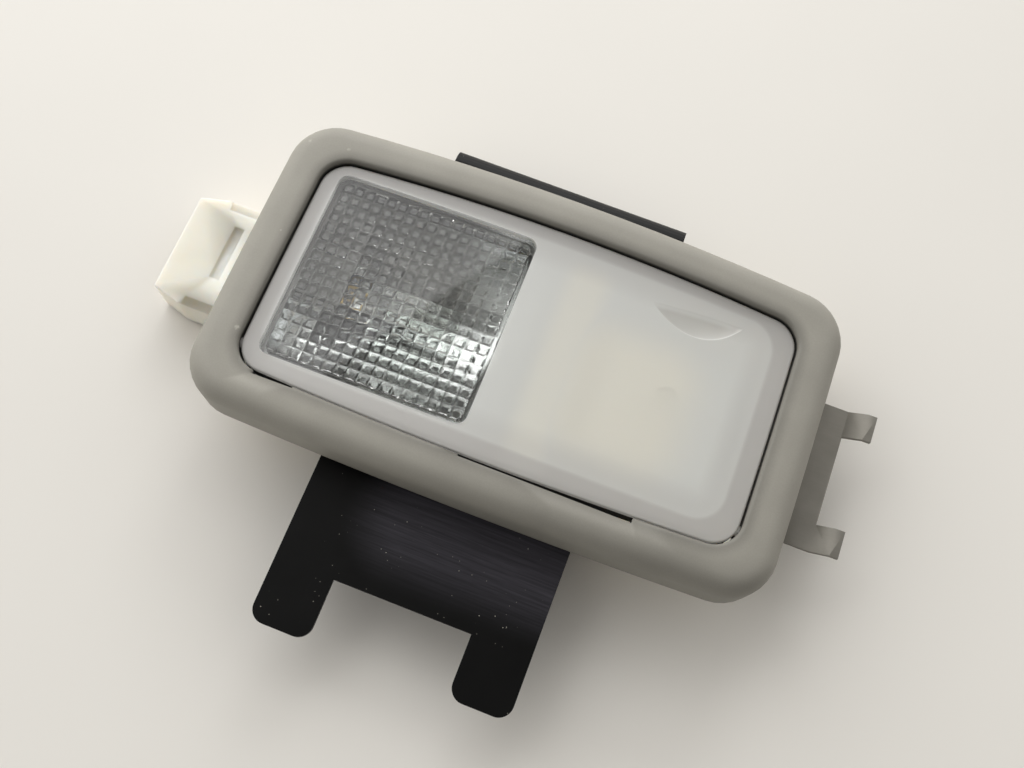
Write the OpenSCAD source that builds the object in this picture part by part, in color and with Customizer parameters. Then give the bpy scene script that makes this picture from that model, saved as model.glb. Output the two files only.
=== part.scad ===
// Car dome light with a tipping lens that works its switch.
// It lies on its back, lens upwards. X runs along the light, from the connector end at -X to the spring
// clip end at +X. The long bracket legs point to -Y. Z = 0 is the back of the mounting bracket.

/* [Bezel] */
// Length over the bezel at mid width
bezel_len = 120; // [118:0.5:130]
// Width over the bezel at mid length
bezel_wid = 66.8; // [64:0.2:74]
// Height from the back of the bracket to the highest line of the bezel face
body_height = 27.5; // [26:0.5:34]
// Outward bow of each long side
bezel_bow_long = 1.65; // [0.5:0.05:2.5]
// Outward bow of each short side
bezel_bow_short = 0.22; // [0.05:0.01:0.6]
// Corner radius in plan
bezel_corner = 9.3; // [7:0.1:12]
// Radius that rolls the face over into the skirt
bezel_roll = 3.9; // [2.8:0.1:5]
// Height of the skirt, face to rim
bezel_skirt = 11; // [9:0.5:13]
// Fall of the face from mid length to the ends
face_crown = 2.4; // [1:0.1:3]
// Moulded wall of the bezel
bezel_wall = 2.2; // [1.6:0.1:2.6]
// Depth of the seam with the housing below the bezel face
seam_drop = 8; // [7.4:0.1:8.2]
// Radius on the edge of the lens opening
opening_edge = 0.6; // [0.3:0.1:0.8]

/* [Pry slots beside the lens] */
// Depth of the slots in the lip of the lens opening
slot_deep = 0.6; // [0.3:0.05:0.8]
// Middle of the long slot along the light
long_slot_x = 14.2; // [10:0.1:18]
// Length of the long slot
long_slot = 34.6; // [20:0.1:40]
// Middle of the short slot along the light
short_slot_x = -41.5; // [-43:0.1:-30]
// Length of the short slot
short_slot = 8.7; // [4:0.1:9]

/* [Lens] */
// Width of the bezel face beside each end of the lens
lens_end_border = 9.05; // [8:0.05:11.5]
// Width of the bezel face beside each long side of the lens
lens_side_border = 8.175; // [7.4:0.025:9.9]
// Outward bow of the lens's long sides
lens_bow_long = 1.73; // [0.5:0.01:2.5]
// Outward bow of the lens's short sides
lens_bow_short = 0.19; // [0.05:0.01:0.5]
// Corner radius of the lens
lens_corner = 5.25; // [4:0.05:7]
// How far the lens lies below the bezel face
lens_drop = 1.45; // [1:0.05:2]
// Thickness of the lens plate
lens_plate = 2.4; // [2:0.1:3]
// Thickness of the lens's side walls
lens_wall = 1.6; // [1.2:0.1:2]
// Depth of the lens's side walls below its top
lens_depth = 5; // [4.8:0.1:5.4]
// Radius on the top edge of the lens
lens_edge = 0.5; // [0.2:0.05:0.8]
// Gap between the lens and the bezel opening
lens_gap = 0.35; // [0.3:0.05:0.6]
// Angle that the lens tips when it is pressed home
lens_tip = 3; // [2:0.25:3.5]
// Room left under the lens when it is pressed home
press_room = 0.51; // [0.3:0.01:0.8]

/* [Lens window] */
// Distance of the clear window from the left end of the lens
window_in = 3.65; // [3.2:0.05:6]
// Distance of the window from the hinge side of the lens
window_low_in = 5.225; // [4.8:0.025:9]
// Distance of the window from the pressed side of the lens
window_high_in = 3.825; // [3.7:0.025:9]
// Corner radius of the window
window_corner = 2; // [1:0.1:3]
// Thickness of the rib round the window, on the underside of the lens
window_rib = 1; // [0.6:0.1:1.4]
// How far that rib stops short of the lens's lower edge
window_rib_up = 0.4; // [0.2:0.05:1]
// Prisms along each side of the window
prism_count = 17; // [8:1:20]
// Depth of the prisms
prism_depth = 0.55; // [0.2:0.05:0.8]
// Share of a prism's width that is flat
prism_flat = 0.5; // [0.2:0.05:0.8]

/* [Thumb scoop] */
// Place of the scoop's back edge along the light
scoop_x = 32; // [20:0.5:32]
// Distance of that edge from the pressed side of the lens
scoop_in = 6.3; // [5.2:0.1:12]
// Greatest depth of the scoop
scoop_depth = 0.95; // [0.6:0.05:1.5]
// Chord of the scoop at its back edge
scoop_chord = 19; // [16:0.5:30]
// Slope of the thumb face, which falls from the back edge
scoop_slope = 14; // [14:1:40]
// Length over which the scoop rises again beyond the thumb face
scoop_run = 1.3; // [1:0.1:20]
// Turn of the back edge in plan
scoop_turn = 4; // [0:1:10]
// Lean of the scoop towards the clip end
scoop_skew = 12; // [0:1:20]

/* [Lens hinge] */
// Distance of the hinge line from the hinge side of the lens
hinge_in = 5.725; // [4.6:0.025:7]
// Depth of the hinge line below the top of the lens
hinge_drop = 3.45; // [3.3:0.05:3.6]
// Radius of the hinge pins
hinge_pin_r = 1.4; // [1:0.05:1.5]
// Running clearance round a hinge pin
hinge_gap = 0.08; // [0.03:0.01:0.1]
// Wall left at the blind end of each hinge bore
hinge_end = 0.4; // [0.3:0.05:0.8]

/* [Housing] */
// Wall of the housing and of the lip round the lens opening
housing_wall = 1.8; // [1.4:0.1:2]
// Thickness of the screw ears
ear_thick = 1.8; // [1.4:0.1:2.2]
// Width of a screw ear
ear_wid = 8; // [6:0.1:9]
// Distance of the bezel screws from mid width
ear_y = 21.5; // [20.5:0.1:23]
// Clearance round the screw bosses
boss_room = 0.2; // [0.1:0.05:0.4]
// Material over the end of a screw boss's hole
boss_cover = 2; // [1:0.1:3]
// How far the locating ear stands out past the corner of the bezel
ear_peep = 1.2; // [0.4:0.1:2]
// Length of the locating ear round that corner
ear_corner = 14; // [8:0.5:16]
// Thickness of the partition beside the reflector
partition = 2.4; // [2:0.1:3]
// Distance of the partition from the window
partition_out = 4.1; // [3.8:0.1:4.4]
// Distance of the raised rib from the middle of the partition
hump_out = 3.6; // [3:0.1:5]
// Width of that rib
hump_wid = 9.1; // [6:0.1:9.4]
// Depth of that rib's top below the ledges of the reflector
hump_under = 2.2; // [0.4:0.1:6]
// Room between that rib and the tower of the switch
hump_clear = 4.5; // [3:0.1:6]
// Length of the ledges that carry the reflector
ledge_len = 2.4; // [1.6:0.1:2.4]

/* [Connector] */
// How far the shroud stands out past the end of the bezel
shroud_out = 17.8; // [14:0.2:22]
// Width of the shroud
shroud_wid = 25.5; // [24.5:0.5:28]
// Depth of the shroud's top below the top of the ears
shroud_under = 3.6; // [2.6:0.1:4.6]
// Clearance under the shroud
shroud_lift = 0.5; // [0.3:0.1:1]
// Wall of the shroud
shroud_wall = 1.5; // [1.2:0.1:1.8]
// Length of the taper at the mouth
shroud_taper = 6; // [3:0.5:8]
// How much each side narrows at the mouth
shroud_pinch = 1.7; // [0.5:0.1:2]
// Width of the step along each long edge of the shroud's top
step_wid = 2; // [1:0.1:2.5]
// Depth of that step
step_deep = 0.5; // [0.3:0.1:1]
// Distance of that step from the mouth
step_in = 7; // [4:0.5:10]
// Width of the latch recess in the top of the shroud
latch_wid = 12.8; // [8:0.2:14]
// Length of the latch recess
latch_len = 2.4; // [1.6:0.1:4]
// Depth of the latch recess
latch_deep = 0.7; // [0.4:0.1:0.9]
// Distance of the latch recess from the mouth
latch_in = 9.6; // [7:0.1:11]
// Offset of the latch recess, which lets the plug in one way round only
latch_y = 1.3; // [0:0.1:2]
// Distance between neighbouring pins
pin_pitch = 7; // [6.4:0.1:7.4]
// Depth of the pin tips inside the mouth
pin_in = 5.5; // [3:0.1:7]
// Width of a terminal strip
strip_wid = 2.2; // [1.6:0.1:2.4]
// Thickness of a terminal strip
strip_thick = 0.5; // [0.3:0.05:0.6]
// Clearance round a strip in its slot
strip_room = 0.15; // [0.1:0.05:0.2]

/* [Reflector] */
// Wall of the reflector
reflector_wall = 1.2; // [0.8:0.1:1.4]
// Height of the bowl's valley above the floor of the housing
valley_lift = 3.7; // [3.4:0.1:4.4]
// Distance of the valley from mid width
valley_y = 4.4; // [3:0.1:5]
// Width of the valley
valley_wid = 3.2; // [2:0.1:5]
// Distance of the valley from the left end of the bowl
valley_left_in = 11.6; // [8:0.1:14]
// Distance of the valley from the right end of the bowl
valley_right_in = 2.9; // [2:0.1:5]
// How strongly the bowl's walls curve, 1 is straight
bowl_curve = 1.6; // [1:0.1:2.2]

/* [Bulb] */
// Radius of the bulb's glass
bulb_r = 5; // [4.5:0.1:5]
// Length of the round glass
bulb_len = 20; // [16:0.5:21]
// Distance between the socket and the round glass
bulb_out = 3.5; // [3:0.1:5]
// Distance of the bulb's axis from mid width
bulb_y = 1.75; // [1.6:0.05:2.2]
// Depth of the bulb's axis below the rim of the reflector
bulb_drop = 5; // [4.8:0.1:5.4]
// Thickness of the glass
glass_wall = 0.7; // [0.5:0.1:1]
// Width of the flat wedge base
wedge_wid = 9.4; // [8.6:0.1:9.6]
// Thickness of the wedge base
wedge_thick = 2.1; // [1.9:0.1:2.3]
// Length of the wedge base
wedge_len = 6.5; // [5:0.5:7]
// Radius of the lead wires
lead_r = 0.25; // [0.2:0.05:0.35]
// Distance of each lead wire from the bulb's axis
lead_y = 2; // [1.5:0.1:2.4]
// Length of the leads beyond the wedge
lead_out = 10; // [8:0.5:12]
// Length of the bulb socket
socket_len = 11; // [9:0.5:11.5]
// Half of the width of the bulb socket
socket_half = 6.4; // [6:0.1:6.6]
// Wall of the socket beside the wedge
socket_wall = 0.9; // [0.7:0.1:1.1]

/* [Switch] */
// Distance of the plunger from the right end of the lens
switch_in = 20.95; // [19.95:0.05:21.95]
// Place of the plunger across the light
switch_y = 0.5; // [0:0.1:1]
// Outer length of the tower that holds the switch
tower_len = 26; // [25:0.5:27]
// Outer width of the tower
tower_wid = 25; // [24:0.5:26]
// Depth of the tower's walls below the seam
tower_drop = 4.5; // [4:0.1:5]
// Wall of the tower
tower_wall = 1.5; // [1.2:0.1:1.8]
// Length and width of the switch body
switch_size = 16; // [14:0.5:18]
// Thickness of the switch lid above the tower
lid_thick = 1.4; // [1:0.1:1.6]
// Thickness of the lid's plug inside the tower
lid_plug = 1; // [0.6:0.1:1.4]
// Radius of the plunger's stem
stem_r = 2.2; // [1.8:0.1:2.6]
// Clearance round the stem in the lid
stem_gap = 0.3; // [0.2:0.05:0.4]
// How far the plunger stands above the tower
stem_out = 4.1; // [3.6:0.1:4.4]
// Height of the plunger's collar
collar_high = 1.4; // [1:0.1:1.8]
// Radius of the bore that the plunger slides in
well_r = 4.4; // [4:0.1:5]
// Floor of that bore above the strips
well_floor = 1.2; // [0.8:0.1:1.6]
// Thickness of the bridge contact
bridge_thick = 0.5; // [0.3:0.05:0.7]
// Wire diameter of the spring
wire_d = 0.5; // [0.4:0.05:0.6]
// Clearance between the spring and its bore
spring_room = 0.6; // [0.4:0.05:1]
// Turns of the spring
spring_turns = 4; // [3:1:5]

/* [Mounting bracket] */
// Thickness of the bracket's sheet
sheet = 1; // [0.8:0.1:1.2]
// Left edge of the bracket
bracket_left = -29.5; // [-32:0.5:-26]
// Right edge of the bracket
bracket_right = 23.2; // [20:0.1:26]
// Room between the flange and the rim of the bezel, which the roof panel fills
flange_drop = 2.7; // [1.4:0.1:3]
// How far the legs stand out past the side of the bezel
leg_out = 33.1; // [28:0.5:40]
// Width of a leg
leg_wid = 12.2; // [9:0.1:14]
// Depth of the notch between the legs
notch_deep = 12.4; // [8:0.1:16]
// Corner radius of the legs
leg_corner = 3; // [1:0.1:4]
// How far the short lip stands out past the other side of the bezel
lip_out = 9; // [6:0.1:12]
// Depth of the lip below the flange
lip_deep = 6; // [4:0.1:7]
// Inner bend radius of the sheet
bend_r = 1.2; // [0.8:0.1:2]

/* [Spring clip] */
// Thickness of the clip's strip
clip_sheet = 0.8; // [0.6:0.1:1]
// How far the strip between the fingers stands out past the end of the bezel
clip_out = 7; // [5:0.5:10]
// How far the finger tips stand out past the strip
finger_out = 5.2; // [4:0.1:8]
// Width over both fingers
clip_wid = 30.8; // [28:0.2:31]
// Width of a finger
finger_wid = 5.7; // [4:0.1:7]
// Depth of the strip's middle below the ears' top
clip_drop = 1.6; // [1.5:0.1:2.4]
// How far the finger tips stand above the strip
finger_rise = 2.4; // [1:0.1:4]
// Length of a flat finger tip
finger_tip = 1.7; // [1:0.1:2.5]
// Bend radius of the clip
clip_bend = 1; // [0.6:0.1:1.4]

/* [Fasteners] */
// Core radius of the bezel screws
screw_r = 1.1; // [0.9:0.05:1.2]
// Head height of the screws
screw_head_h = 1.6; // [1.2:0.1:2]
// Clearance round a screw in its hole
screw_gap = 0.1; // [0.05:0.01:0.2]
// Width of the slots of the cross recess
cross_wid = 0.5; // [0.3:0.1:0.7]
// Core radius of the bracket screws
side_screw_r = 1.5; // [1.2:0.05:1.8]
// Depth of the holes for the bracket screws in their bosses
side_boss = 4; // [3:0.5:5]
// Wall of those bosses
side_boss_wall = 1.6; // [1.2:0.1:2]
// How far a bracket screw's head reaches past its core
side_head = 1.5; // [1:0.1:2]
// Shank radius of the clip rivets
rivet_r = 1.5; // [1.2:0.05:1.8]
// Head radius of the clip rivets
rivet_head_r = 2.7; // [2.4:0.1:3]
// Head height of the clip rivets
rivet_head_h = 1; // [0.6:0.1:1.2]
// Distance of each clip rivet from mid width
rivet_y = 8; // [6:0.1:10]

/* [Hidden] */
$fn = 48;

// small overlap that makes cuts run clean through, and pieces of one solid run into each other
eps = 0.05;
// gap between pieces that lie beside each other
air = 0.3;
// points along a corner arc, a long side and a short side of every bowed outline
corner_pts = 8;
long_pts = 12;
short_pts = 4;

lens_len = bezel_len - 2 * lens_end_border;
lens_wid = bezel_wid - 2 * lens_side_border;

// heights, from the bezel face down
lens_top = body_height - lens_drop;
lens_low = lens_top - lens_depth;
lens_under = lens_top - lens_plate;
seam_z = body_height - seam_drop;
rim_z = body_height - bezel_skirt;
ear_z = rim_z - face_crown;
hinge_z = lens_top - hinge_drop;
hinge_y = hinge_in - lens_wid / 2;
// how far the pressed side of the lens drops at the full tip
lens_sweep = (lens_wid / 2 - hinge_y) * sin(lens_tip);
reflector_top = lens_low - lens_sweep - press_room;
ledge_top = reflector_top - reflector_wall;
bulb_z = reflector_top - bulb_drop;
tower_top = seam_z - tower_drop;
flange_z = rim_z - flange_drop;
clip_z = ear_z - clip_drop;

open_len = lens_len + 2 * lens_gap;
open_wid = lens_wid + 2 * lens_gap;
open_corner = lens_corner + lens_gap;
tray_len = open_len + 2 * housing_wall;
tray_wid = open_wid + 2 * housing_wall;
floor_low = sheet;
floor_z = floor_low + housing_wall;
pin_end = tray_len / 2 - 2 * hinge_end;
// screws and rivets stand midway up the walls that they hold
side_screw_z = (sheet + flange_z) / 2;
rivet_z = (floor_z + clip_z) / 2;

// the bezel screws stand midway between the tray and the skirt
ear_x = (tray_len / 2 + bezel_len / 2 - bezel_wall) / 2;
boss_r = (bezel_len / 2 - bezel_wall - tray_len / 2) / 2 - boss_room;
boss_top = body_height - bezel_wall - crown_at(ear_x) + eps;

// along the light from the switch to the window, which takes the room that is left
switch_x = lens_len / 2 - switch_in;
tower_left = switch_x - tower_len / 2;
hump_left = tower_left - hump_clear - hump_wid;
partition_x = hump_left - hump_out;
window_right = partition_x - partition_out;
window_left = -lens_len / 2 + window_in;
window_low = -lens_wid / 2 + window_low_in;
window_high = lens_wid / 2 - window_high_in;
window_mid = [(window_left + window_right) / 2, (window_low + window_high) / 2];

shroud_reach = bezel_len / 2 + shroud_out;
shroud_top = ear_z - shroud_under;
pin_z = (shroud_lift + shroud_top) / 2;
pin_tip = -shroud_reach + pin_in;
strip_z = floor_z + strip_thick / 2 + 0.1;
riser_x = -open_len / 2 + 1.2;
contact_in_y = 0;
contact_out_y = 3.5;
contact_lift = wedge_thick / 2 + strip_thick / 2;
socket_left = riser_x + 1.6;
socket_right = socket_left + socket_len;
socket_foot = 6;
socket_low = bulb_z - wedge_thick / 2 - 4;
socket_top = ledge_top - air;
socket_beside = 4;
bulb_left = socket_right + bulb_out;
contact_end = bulb_left - 1.6;

bowl_left = window_left - 0.3;
bowl_right = window_right + 0.8;
bowl_low_y = window_low + 0.3;
bowl_high_y = window_high;
bowl_corner = 4;
valley_corner = 1.2;
plate_half = open_wid / 2 - lens_bow_long - 2 * air;
ledge_half = plate_half - 1.2;

switch_low = strip_z + strip_thick / 2;
switch_top = tower_top - lid_plug;
lid_top = tower_top + lid_thick;
stem_top = tower_top + stem_out;
well_low = switch_low + well_floor;
collar_low = switch_top - air - collar_high;
spring_high = collar_low - bridge_thick - well_low;

bracket_mid = (bracket_left + bracket_right) / 2;
leg_tip = -(bezel_wid / 2 + leg_out);
lip_reach = bezel_wid / 2 + lip_out;
wall_y = tray_wid / 2 + air;
clip_wall_x = tray_len / 2;
clip_reach = bezel_len / 2 + clip_out;
finger_reach = clip_reach + finger_out;

// Fall of the crowned face at a distance x from mid length
function crown_at(x) = face_crown * pow(2 * x / bezel_len, 2);

// Outline of a rectangle with rounded corners, a by b from its middle, anticlockwise from the +X side
function square_loop(a, b, r) = [
    for (q = [0:3]) let (
        sx = q == 0 || q == 3 ? 1 : -1,
        sy = q < 2 ? 1 : -1,
        c = [sx * (a - r), sy * (b - r)],
        n = q % 2 == 0 ? long_pts : short_pts,
        from = c + r * [cos(90 * q + 90), sin(90 * q + 90)],
        to = q == 0 ? [-(a - r), b] : q == 1 ? [-a, -(b - r)] : q == 2 ? [a - r, -b] : [a, b - r])
    each concat(
        [for (k = [0:corner_pts]) let (g = 90 * q + 90 * k / corner_pts) c + r * [cos(g), sin(g)]],
        [for (k = [1:n - 1]) from + (to - from) * k / n])];
// The same with gently bowed sides; length and width are measured over the bows
function bowed(l, w, bow_l, bow_s, r) = let (a = l / 2 - bow_s, b = w / 2 - bow_l)
    [for (p = square_loop(a, b, r))
        [p.x * (1 + bow_s / a * (1 - pow(p.y / b, 2))), p.y * (1 + bow_l / b * (1 - pow(p.x / a, 2)))]];
function bezel_outline(inset) = bowed(bezel_len - 2 * inset, bezel_wid - 2 * inset,
    bezel_bow_long, bezel_bow_short, max(bezel_corner - inset, 1));
function opening_outline(out) = bowed(open_len + 2 * out, open_wid + 2 * out,
    lens_bow_long, lens_bow_short, open_corner + out);
function lens_outline(inset) = bowed(lens_len - 2 * inset, lens_wid - 2 * inset,
    lens_bow_long, lens_bow_short, max(lens_corner - inset, 1));

// Rings of a loft: an outline at height z, sunk towards its ends by a share of the crown
function crowned(pts, z, share) = [for (p = pts) [p.x, p.y, z - share * crown_at(p.x)]];
function bezel_ring(inset, z) = crowned(bezel_outline(inset), z, 1);
function opening_ring(out, z, share = 1) = crowned(opening_outline(out), z, share);
function lens_ring(inset, z, share = 1) = crowned(lens_outline(inset), z, share);
// a ring inside the lens, shrunk to a part of the outline within its walls
function lens_inner_ring(part, z) = crowned([for (p = lens_outline(lens_wall)) p * part], z, 1);

// Skin through a list of rings that have the same number of points, listed from the inside of the
// first cap, out over the top and down. closed joins the last ring back to the first.
module loft(rings, closed = false) {
    n = len(rings[0]);
    m = len(rings);
    last = closed ? m - 1 : m - 2;
    sides = [for (i = [0:last], k = [0:n - 1]) let (
        a = i * n + k,
        b = i * n + (k + 1) % n,
        c = ((i + 1) % m) * n + (k + 1) % n,
        d = ((i + 1) % m) * n + k)
        each [[a, b, c], [a, c, d]]];
    // each cap is a fan of triangles round a point of its own
    caps = closed ? [] : [for (k = [0:n - 1]) let (next = (k + 1) % n)
        each [[m * n, next, k], [m * n + 1, (m - 1) * n + k, (m - 1) * n + next]]];
    polyhedron(concat([for (r = rings) each r], closed ? [] : [middle(rings[0]), middle(rings[m - 1])]),
        concat(sides, caps));
}
function middle(pts) = [for (p = pts) 1] * pts / len(pts);

// Outline of a strip of thickness t along a path of points, mitred at its bends
function turn(v) = [-v.y, v.x];
function unit(v) = v / norm(v);
function mitre(p, i, t) = let (
    n = len(p),
    u = i > 0 ? unit(p[i] - p[i - 1]) : unit(p[1] - p[0]),
    v = i < n - 1 ? unit(p[i + 1] - p[i]) : u,
    m = unit(turn(u) + turn(v)))
    m * t / 2 / (m * turn(u));
function band(p, t) = let (n = len(p)) concat(
    [for (i = [0:n - 1]) p[i] + mitre(p, i, t)],
    [for (i = [n - 1:-1:0]) p[i] - mitre(p, i, t)]);
// Points of a bend of radius r that replaces the corner b between a and c
function bend(a, b, c, r) = let (
    u = unit(a - b),
    v = unit(c - b),
    half = acos(u * v) / 2,
    reach = r / tan(half),
    mid = b + unit(u + v) * r / sin(half),
    from = b + u * reach - mid,
    to = b + v * reach - mid,
    side = sign(from.x * to.y - from.y * to.x),
    sweep = acos(unit(from) * unit(to)))
    [for (k = [0:6]) let (g = side * sweep * k / 6)
        mid + [from.x * cos(g) - from.y * sin(g), from.x * sin(g) + from.y * cos(g)]];

// A strip bent in the XZ plane, w wide, its middle at y
module strip_xz(p, t, w, y) {
    translate([0, y + w / 2, 0])
        rotate([90, 0, 0])
            linear_extrude(w)
                polygon(band(p, t));
}
// A strip bent in the YZ plane, from x0 to x1
module strip_yz(p, t, x0, x1) {
    translate([x0, 0, 0])
        rotate([90, 0, 90])
            linear_extrude(x1 - x0)
                polygon(band(p, t));
}
module box(x0, x1, y0, y1, z0, z1) {
    translate([x0, y0, z0])
        cube([x1 - x0, y1 - y0, z1 - z0]);
}
module slab(pts, z0, z1) {
    translate([0, 0, z0])
        linear_extrude(z1 - z0)
            polygon(pts);
}
module rod_x(x0, x1, y, z, r) {
    translate([x0, y, z])
        rotate([0, 90, 0])
            cylinder(r = r, h = x1 - x0);
}
module rod_y(x, y0, y1, z, r) {
    translate([x, y1, z])
        rotate([90, 0, 0])
            cylinder(r = r, h = y1 - y0);
}
module rod_z(x, y, z0, z1, r) {
    translate([x, y, z0])
        cylinder(r = r, h = z1 - z0);
}

module bezel() {
    bore_in = open_len / 2 - 2;
    bore_end = tray_len / 2 - hinge_end;
    color([0.61, 0.6, 0.56])
        difference() {
            union() {
                loft(bezel_rings(), closed = true);
                for (sx = [-1, 1], sy = [-1, 1])
                    rod_z(sx * ear_x, sy * ear_y, ear_z, boss_top, boss_r);
            }
            for (sx = [-1, 1]) {
                rod_x(sx > 0 ? bore_in : -bore_end, sx > 0 ? bore_end : -bore_in, hinge_y, hinge_z,
                    hinge_pin_r + hinge_gap);
                for (sy = [-1, 1])
                    rod_z(sx * ear_x, sy * ear_y, ear_z - eps, boss_top - boss_cover, screw_r + screw_gap);
            }
            pry_slot(long_slot_x, long_slot);
            pry_slot(short_slot_x, short_slot);
        }
}
// Section of the bezel, taken round its outline: up inside the skirt and along behind the face,
// down and up the lip of the opening, then out over the face and down the skirt
function bezel_rings() = let (
    top = body_height,
    roll = bezel_roll,
    inner = bezel_wall,
    lip = opening_edge)
    concat(
        [bezel_ring(inner, rim_z), bezel_ring(inner, top - roll), bezel_ring(roll, top - inner),
            opening_ring(housing_wall, top - inner), opening_ring(housing_wall, seam_z, 0),
            opening_ring(0, seam_z, 0)],
        [for (a = [90:-30:0]) opening_ring(lip * (1 - sin(a)), top - lip + lip * cos(a))],
        [for (a = [90:-15:0]) bezel_ring(roll * (1 - cos(a)), top - roll + roll * sin(a))],
        [bezel_ring(0, rim_z)]);
// A slot in the lip of the opening, on the hinge side, where a blade lifts the lens out
module pry_slot(x, long) {
    y = -open_wid / 2 - slot_deep + lens_bow_long * pow(2 * x / open_len, 2);
    box(x - long / 2, x + long / 2, y, y + slot_deep + lens_bow_long, lens_low, body_height + eps);
}

module lens() {
    pin_in_x = lens_len / 2 - lens_wall;
    color([0.78, 0.79, 0.77])
        difference() {
            union() {
                loft(lens_rings());
                prisms();
                difference() {
                    slab(window_outline(0), lens_low + window_rib_up, lens_under + air);
                    slab(window_outline(window_rib), lens_low, lens_top);
                }
                for (sx = [-1, 1])
                    rod_x(sx > 0 ? pin_in_x : -pin_end, sx > 0 ? pin_end : -pin_in_x, hinge_y, hinge_z, hinge_pin_r);
                rod_z(switch_x, switch_y, stem_top + air, lens_under + lens_plate / 2, stem_r);
            }
            scoop();
        }
}
function lens_rings() = let (edge = lens_edge, small = 0.02)
    concat(
        [for (part = [small, 0.25, 0.5, 0.75]) lens_inner_ring(part, lens_top)],
        [for (a = [90:-30:0]) lens_ring(edge * (1 - cos(a)), lens_top - edge + edge * sin(a))],
        [lens_ring(0, lens_low, 0), lens_ring(lens_wall, lens_low, 0)],
        [for (part = [1, 0.75, 0.5, 0.25, small]) lens_inner_ring(part, lens_under)]);
function window_outline(inset) = [for (p = square_loop((window_right - window_left) / 2 - inset,
    (window_high - window_low) / 2 - inset, max(window_corner - inset, 0.5))) p + window_mid];
// Rows of small pyramids with flat tips under the clear window
module prisms() {
    n = prism_count;
    left = window_left + window_rib;
    low = window_low + window_rib;
    sx = (window_right - window_left - 2 * window_rib) / n;
    sy = (window_high - window_low - 2 * window_rib) / n;
    sunk = lens_plate / 2;
    round = [[0, 0], [1, 0], [1, 1], [0, 1]];
    corner = function (i, k, lift) let (x = left + sx * i) [x, low + sy * k, lens_under - crown_at(x) + lift];
    inward = function (i, v) i + 0.5 + (v - 0.5) * prism_flat;
    pts = concat(
        [for (i = [0:n], k = [0:n]) corner(i, k, sunk)],
        [for (i = [0:n], k = [0:n]) corner(i, k, 0)],
        [for (i = [0:n - 1], k = [0:n - 1], q = round) corner(inward(i, q.x), inward(k, q.y), -prism_depth)]);
    top = function (i, k) i * (n + 1) + k;
    foot = function (i, k) (n + 1) * (n + 1) + i * (n + 1) + k;
    tip = function (i, k, q) 2 * (n + 1) * (n + 1) + 4 * (i * n + k) + q % 4;
    faces = concat(
        [for (i = [0:n - 1], k = [0:n - 1]) each [
            [top(i, k), top(i, k + 1), top(i + 1, k)], [top(i + 1, k), top(i, k + 1), top(i + 1, k + 1)],
            [tip(i, k, 0), tip(i, k, 1), tip(i, k, 2)], [tip(i, k, 0), tip(i, k, 2), tip(i, k, 3)]]],
        [for (i = [0:n - 1], k = [0:n - 1], q = [0:3]) let (
            a = foot(i + round[q].x, k + round[q].y),
            b = foot(i + round[(q + 1) % 4].x, k + round[(q + 1) % 4].y))
            each [[a, b, tip(i, k, q + 1)], [a, tip(i, k, q + 1), tip(i, k, q)]]],
        [for (i = [0:n - 1]) each [
            [top(i, 0), top(i + 1, 0), foot(i + 1, 0)], [top(i, 0), foot(i + 1, 0), foot(i, 0)],
            [top(i + 1, n), top(i, n), foot(i, n)], [top(i + 1, n), foot(i, n), foot(i + 1, n)],
            [top(0, i + 1), top(0, i), foot(0, i)], [top(0, i + 1), foot(0, i), foot(0, i + 1)],
            [top(n, i), top(n, i + 1), foot(n, i + 1)], [top(n, i), foot(n, i + 1), foot(n, i)]]]);
    polyhedron(pts, faces);
}
// Thumb scoop: a flat thumb face that falls towards -Y, ended by a round channel that rises out of it
module scoop() {
    lean = atan(2 * crown_at(scoop_x) / scoop_x);
    rise = atan(scoop_depth / scoop_run);
    long = scoop_depth / tan(scoop_slope) + scoop_run;
    // depth of the channel under the back edge, which the thumb face hides
    sunk = long * tan(rise);
    deep = sunk * cos(rise);
    channel_r = pow(scoop_chord / 2, 2) / (2 * deep) + deep / 2;
    far = 2 * (long + scoop_chord);
    translate([scoop_x, lens_wid / 2 - scoop_in, lens_top - crown_at(scoop_x)])
        rotate([0, lean, scoop_turn])
            intersection() {
                rotate([0, 0, scoop_skew])
                    translate([0, 0, -sunk])
                        rotate([90 - rise, 0, 0])
                            translate([0, channel_r, -far])
                                cylinder(r = channel_r, h = 2 * far, $fn = 120);
                rotate([scoop_slope, 0, 0])
                    box(-far, far, -far, scoop_in, 0, scoop_chord);
            }
}

module housing() {
    half = open_wid / 2;
    color([0.9, 0.87, 0.8])
        difference() {
            union() {
                tray();
                box(partition_x - partition / 2, partition_x + partition / 2, -half, half, floor_z - eps, ledge_top);
                ledge(-ledge_half, bulb_y - socket_half - socket_beside);
                ledge(bulb_y + socket_half + socket_beside, ledge_half);
                box(hump_left, hump_left + hump_wid, -half, half, floor_z - eps, ledge_top - hump_under);
                tower();
                ears();
                shroud();
                for (s = [-1, 1])
                    side_rod(s, half - side_boss, tray_wid / 2 - 1, side_screw_r + side_boss_wall);
            }
            box(hump_left + tower_wall, hump_left + hump_wid - tower_wall, 1 - half, half - 1,
                floor_low - 1, ledge_top - hump_under - tower_wall);
            shroud_cavity();
            strip_slots();
            for (s = [-1, 1]) {
                side_rod(s, half - side_boss - 1, tray_wid / 2 + 1, side_screw_r + screw_gap);
                rod_x(open_len / 2 - 1, tray_len / 2 + 1, s * rivet_y, rivet_z, rivet_r + screw_gap);
            }
            for (sx = [-1, 1], sy = [-1, 1])
                rod_z(sx * ear_x, sy * ear_y, ear_z - ear_thick - 1, ear_z + 1, screw_r + screw_gap);
        }
}
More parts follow.
